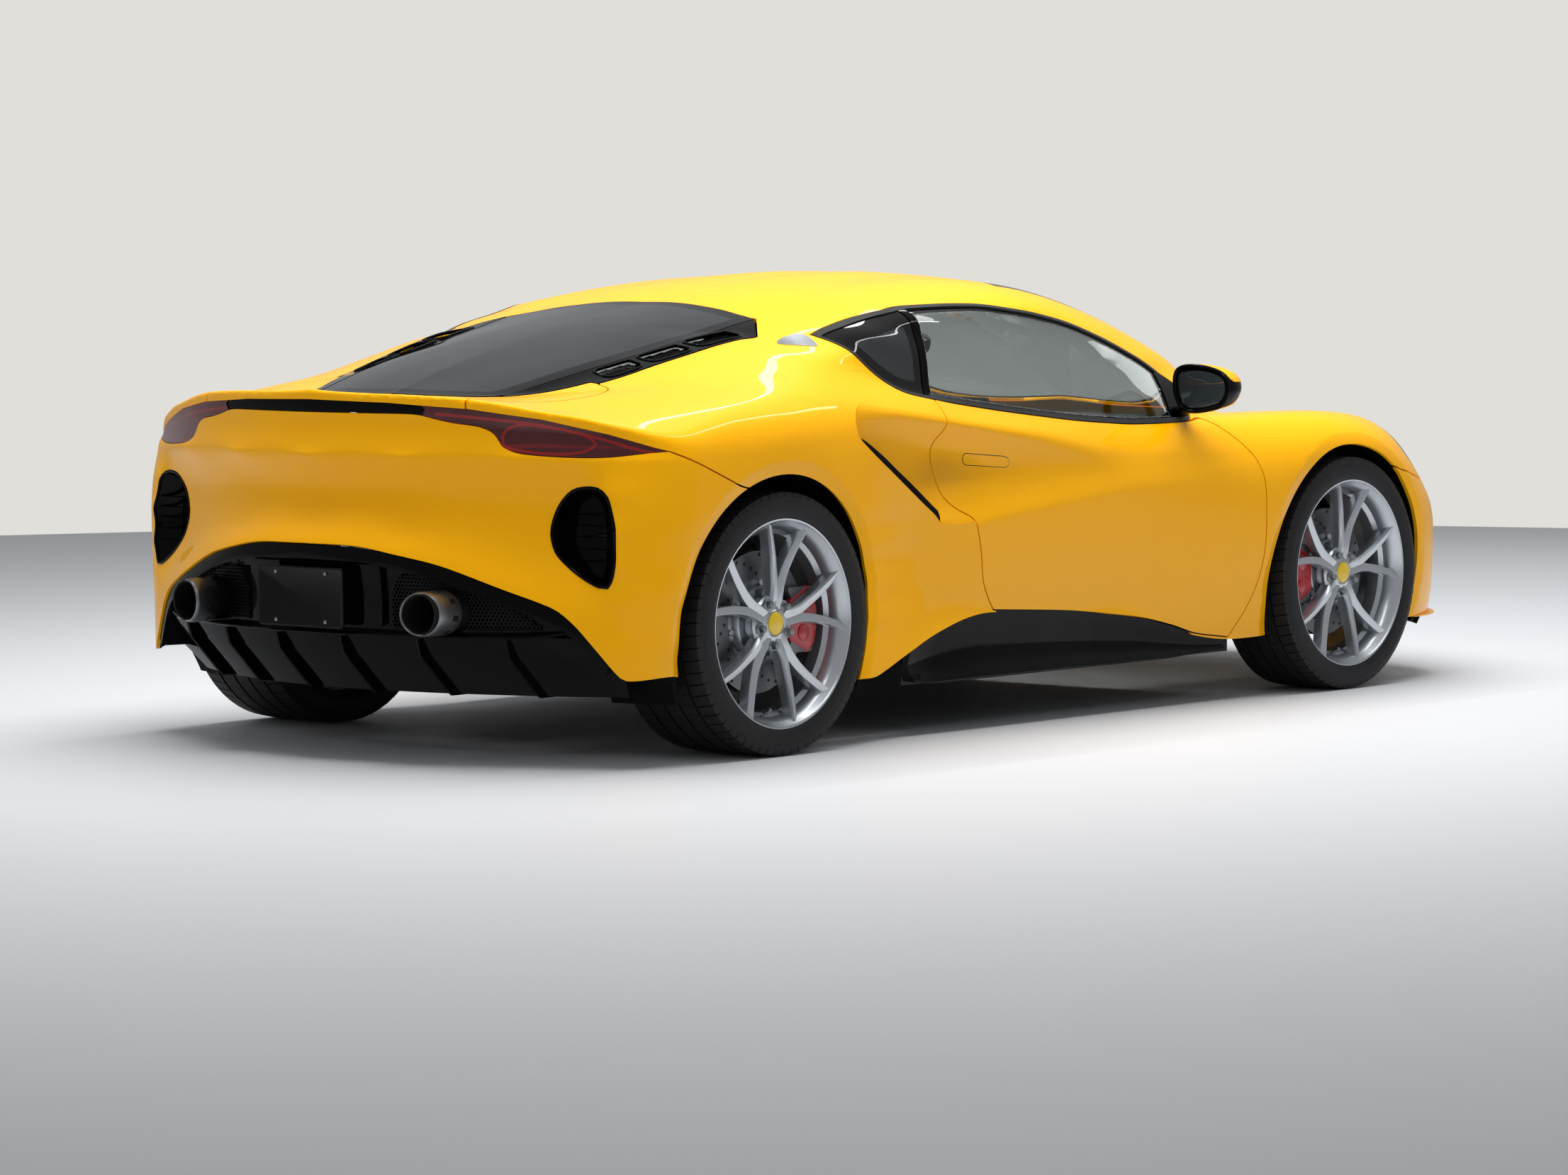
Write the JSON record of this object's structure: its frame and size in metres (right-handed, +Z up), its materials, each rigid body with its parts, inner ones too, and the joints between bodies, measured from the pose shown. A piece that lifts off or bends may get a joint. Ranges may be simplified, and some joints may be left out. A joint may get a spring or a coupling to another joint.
{
  "type": "mid-engined two-seat coupe car",
  "caption": "Low two-door coupe with a mid-mounted engine, opening doors, bonnet and rear hatch, steering front wheels and a finned diffuser.",
  "frame": {"origin": "on the ground, below the middle of the overall length and width", "axes": "+X forward to the nose, +Y to the car's left, +Z up"},
  "size_m": [4.4129, 2.092, 1.226],
  "materials": {
    "tyre": "matte",
    "wheel_alloy": "satin silver",
    "brake_iron": "machined",
    "chassis_metal": "satin",
    "glass": "tinted",
    "lamp_clear": "clear over dark housing",
    "lamp_red": "gloss",
    "gloss_black": "gloss",
    "exhaust_metal": "satin",
    "plate": "gloss, blank",
    "liner_plastic": "matte",
    "dash_plastic": "soft grain",
    "seat_leather": "soft",
    "engine_metal": "cast",
    "body_paint": "gloss yellow with fine flake"
  },
  "bodies": {
    "car": {"arch_liners": "liner_plastic", "dashboard": "dash_plastic", "diffuser": "gloss_black", "engine": "engine_metal", "exhaust": "exhaust_metal", "front_bumper": "body_paint", "front_fender_left": "body_paint", "front_fender_right": "body_paint", "front_suspension": "chassis_metal", "headlights": "lamp_clear", "number_plate": "plate", "quarter_windows": "glass", "rear_bumper": "body_paint", "rear_fender_left": "body_paint", "rear_fender_right": "body_paint", "rear_suspension": "chassis_metal", "rear_uprights": "chassis_metal", "roof": "body_paint", "seats": "seat_leather", "side_frame_left": "body_paint", "side_frame_right": "body_paint", "side_sills": "gloss_black", "tail_lights": "lamp_red", "tub": "chassis_metal", "windscreen": "glass"},
    "front_wheel_left": {"front_tyre_left": "tyre", "front_rim_left": "wheel_alloy", "front_brake_disc_left": "brake_iron"},
    "front_wheel_right": {"front_tyre_right": "tyre", "front_rim_right": "wheel_alloy", "front_brake_disc_right": "brake_iron"},
    "rear_wheel_left": {"rear_tyre_left": "tyre", "rear_rim_left": "wheel_alloy", "rear_brake_disc_left": "brake_iron"},
    "rear_wheel_right": {"rear_tyre_right": "tyre", "rear_rim_right": "wheel_alloy", "rear_brake_disc_right": "brake_iron"},
    "door_left_body": {"door_left": "body_paint", "door_glass_left": "glass", "mirror_left": "body_paint"},
    "steer_left_body": {"front_knuckle_left": "chassis_metal"},
    "door_right_body": {"door_right": "body_paint", "door_glass_right": "glass", "mirror_right": "body_paint"},
    "steer_right_body": {"front_knuckle_right": "chassis_metal"},
    "bonnet_body": {"bonnet": "body_paint"},
    "tailgate_body": {"tailgate": "body_paint", "rear_glass": "glass"},
    "steering_wheel_body": {"steering_wheel": "dash_plastic"}
  },
  "joints": [
    {"name": "front_wheel_left_spin", "type": "hinge", "parent": "steer_left_body", "child": "front_wheel_left", "pos_m": [1.21, 0.8, 0.34], "axis": [0, 1, 0], "continuous": true},
    {"name": "front_wheel_right_spin", "type": "hinge", "parent": "steer_right_body", "child": "front_wheel_right", "pos_m": [1.21, -0.8, 0.34], "axis": [0, 1, 0], "continuous": true},
    {"name": "rear_wheel_left_spin", "type": "hinge", "parent": "car", "child": "rear_wheel_left", "pos_m": [-1.365, 0.8, 0.3425], "axis": [0, 1, 0], "continuous": true},
    {"name": "rear_wheel_right_spin", "type": "hinge", "parent": "car", "child": "rear_wheel_right", "pos_m": [-1.365, -0.8, 0.3425], "axis": [0, 1, 0], "continuous": true},
    {"name": "steer_left", "type": "hinge", "parent": "car", "child": "steer_left_body", "pos_m": [1.21, 0.735, 0.34], "axis": [0, 0, 1], "range_deg": [-32, 32]},
    {"name": "steer_right", "type": "hinge", "parent": "car", "child": "steer_right_body", "pos_m": [1.21, -0.735, 0.34], "axis": [0, 0, 1], "range_deg": [-32, 32]},
    {"name": "steering_wheel_turn", "type": "hinge", "parent": "car", "child": "steering_wheel_body", "pos_m": [0.33, 0.37, 0.7], "axis": [-0.9272, 0, 0.3746], "range_deg": [-432, 432]},
    {"name": "door_left_hinge", "type": "hinge", "parent": "car", "child": "door_left_body", "pos_m": [0.75, 0.903, 0.5], "axis": [0, 0, -1], "range_deg": [0, 65]},
    {"name": "door_right_hinge", "type": "hinge", "parent": "car", "child": "door_right_body", "pos_m": [0.75, -0.903, 0.5], "axis": [0, 0, 1], "range_deg": [0, 65]},
    {"name": "bonnet_hinge", "type": "hinge", "parent": "car", "child": "bonnet_body", "pos_m": [0.835, 0, 0.845], "axis": [0, -1, 0], "range_deg": [0, 50]},
    {"name": "tailgate_hinge", "type": "hinge", "parent": "car", "child": "tailgate_body", "pos_m": [-0.835, 0, 1.168], "axis": [0, 1, 0], "range_deg": [0, 60]}
  ],
  "couplings": [
    {"joint": "steer_right", "follows": "steer_left", "ratio": 1},
    {"joint": "steering_wheel_turn", "follows": "steer_left", "ratio": 13.5}
  ]
}
